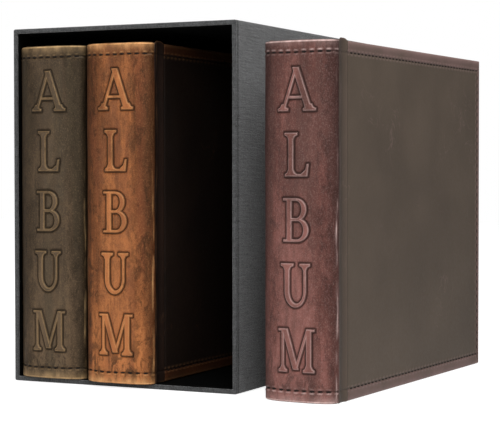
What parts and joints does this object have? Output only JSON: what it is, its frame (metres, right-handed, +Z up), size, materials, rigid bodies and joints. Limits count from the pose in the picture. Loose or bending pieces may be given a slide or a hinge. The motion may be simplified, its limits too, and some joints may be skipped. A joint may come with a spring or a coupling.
{
  "type": "album set in slipcase",
  "caption": "Open slipcase holding thick leather-bound pocket albums, spines outward, with a further album beside it whose covers and leaves open.",
  "frame": {"origin": "centre of the slipcase's underside, where it rests", "axes": "+Z up, the slipcase's open mouth faces -Y, +X to the right as one looks into the mouth"},
  "size_m": [0.2584, 0.2676, 0.2409],
  "materials": {
    "case_cloth": "fine black bookcloth, matt",
    "greyboard": "raw grey board",
    "case_lining": "matt black paper",
    "bronze_spine_leather": "burnished dark bronze, worn bright at the edges",
    "copper_spine_leather": "burnished copper, worn bright at the edges",
    "plum_spine_leather": "burnished plum, worn bright at the edges",
    "bronze_cover_leather": "matt brown",
    "copper_cover_leather": "matt dark brown, coppery at the sewn border",
    "plum_cover_leather": "matt grey brown",
    "thread": "dark sewing thread",
    "endpaper": "dark textured paper",
    "leaf": "card leaf with clear film pockets"
  },
  "bodies": {
    "slipcase": {"case_left_board": "greyboard", "case_right_board": "greyboard", "case_floor_board": "greyboard", "case_top_board": "greyboard", "case_back_board": "greyboard", "case_floor_cloth": "case_cloth", "case_top_cloth": "case_cloth", "case_side_cloth": "case_cloth", "case_side_lining": "case_lining", "case_floor_lining": "case_lining", "case_top_lining": "case_lining"},
    "bronze_album": {"bronze_front_board": "greyboard", "bronze_back_board": "greyboard", "bronze_spine_board": "greyboard", "bronze_front_leather": "bronze_cover_leather", "bronze_back_leather": "bronze_cover_leather", "bronze_spine_leather": "bronze_spine_leather", "bronze_front_hinge": "bronze_cover_leather", "bronze_back_hinge": "bronze_cover_leather", "bronze_front_endpaper": "endpaper", "bronze_back_endpaper": "endpaper", "bronze_page_block": "leaf", "bronze_front_thread": "thread", "bronze_back_thread": "thread", "bronze_spine_head_thread": "thread", "bronze_spine_tail_thread": "thread"},
    "copper_album": {"copper_front_board": "greyboard", "copper_back_board": "greyboard", "copper_spine_board": "greyboard", "copper_front_leather": "copper_cover_leather", "copper_back_leather": "copper_cover_leather", "copper_spine_leather": "copper_spine_leather", "copper_front_hinge": "copper_cover_leather", "copper_back_hinge": "copper_cover_leather", "copper_front_endpaper": "endpaper", "copper_back_endpaper": "endpaper", "copper_page_block": "leaf", "copper_front_thread": "thread", "copper_back_thread": "thread", "copper_spine_head_thread": "thread", "copper_spine_tail_thread": "thread"},
    "plum_back_cover": {"plum_back_leather": "plum_cover_leather", "plum_back_board": "greyboard", "plum_back_endpaper": "endpaper", "plum_back_thread": "thread"},
    "plum_spine_and_pages": {"plum_spine_leather": "plum_spine_leather", "plum_spine_board": "greyboard", "plum_front_hinge": "plum_cover_leather", "plum_back_hinge": "plum_cover_leather", "plum_page_block": "leaf", "plum_spine_head_thread": "thread", "plum_spine_tail_thread": "thread"},
    "plum_front_cover": {"plum_front_leather": "plum_cover_leather", "plum_front_board": "greyboard", "plum_front_endpaper": "endpaper", "plum_front_thread": "thread"},
    "plum_leaf_1": {"plum_leaf_1": "leaf"},
    "plum_leaf_2": {"plum_leaf_2": "leaf"},
    "plum_leaf_3": {"plum_leaf_3": "leaf"}
  },
  "joints": [
    {"name": "bronze_slide", "type": "slide", "parent": "slipcase", "child": "bronze_album", "axis": [0, -1, 0], "range_m": [0, 0.2]},
    {"name": "copper_slide", "type": "slide", "parent": "slipcase", "child": "copper_album", "axis": [0, -1, 0], "range_m": [0, 0.2]},
    {"name": "plum_slide", "type": "slide", "parent": "slipcase", "child": "plum_back_cover", "axis": [-0.0513, -0.9987, 0], "range_m": [0, 0.15]},
    {"name": "plum_back_hinge", "type": "hinge", "parent": "plum_back_cover", "child": "plum_spine_and_pages", "pos_m": [0.10979, -0.12221, 0], "axis": [0, 0, -1], "range_deg": [0, 90]},
    {"name": "plum_front_hinge", "type": "hinge", "parent": "plum_spine_and_pages", "child": "plum_front_cover", "pos_m": [0.16093, -0.12484, 0], "axis": [0, 0, -1], "range_deg": [0, 135]},
    {"name": "plum_leaf_1_turn", "type": "hinge", "parent": "plum_spine_and_pages", "child": "plum_leaf_1", "pos_m": [0.15449, -0.1195, 0], "axis": [0, 0, -1], "range_deg": [0, 86.9]},
    {"name": "plum_leaf_2_turn", "type": "hinge", "parent": "plum_spine_and_pages", "child": "plum_leaf_2", "pos_m": [0.15309, -0.11943, 0], "axis": [0, 0, -1], "range_deg": [0, 54.5]},
    {"name": "plum_leaf_3_turn", "type": "hinge", "parent": "plum_spine_and_pages", "child": "plum_leaf_3", "pos_m": [0.15169, -0.11936, 0], "axis": [0, 0, -1], "range_deg": [0, 27.5]}
  ],
  "couplings": [
    {"joint": "plum_leaf_1_turn", "follows": "plum_front_hinge", "ratio": 0.64},
    {"joint": "plum_leaf_2_turn", "follows": "plum_front_hinge", "ratio": 0.4},
    {"joint": "plum_leaf_3_turn", "follows": "plum_front_hinge", "ratio": 0.2}
  ]
}
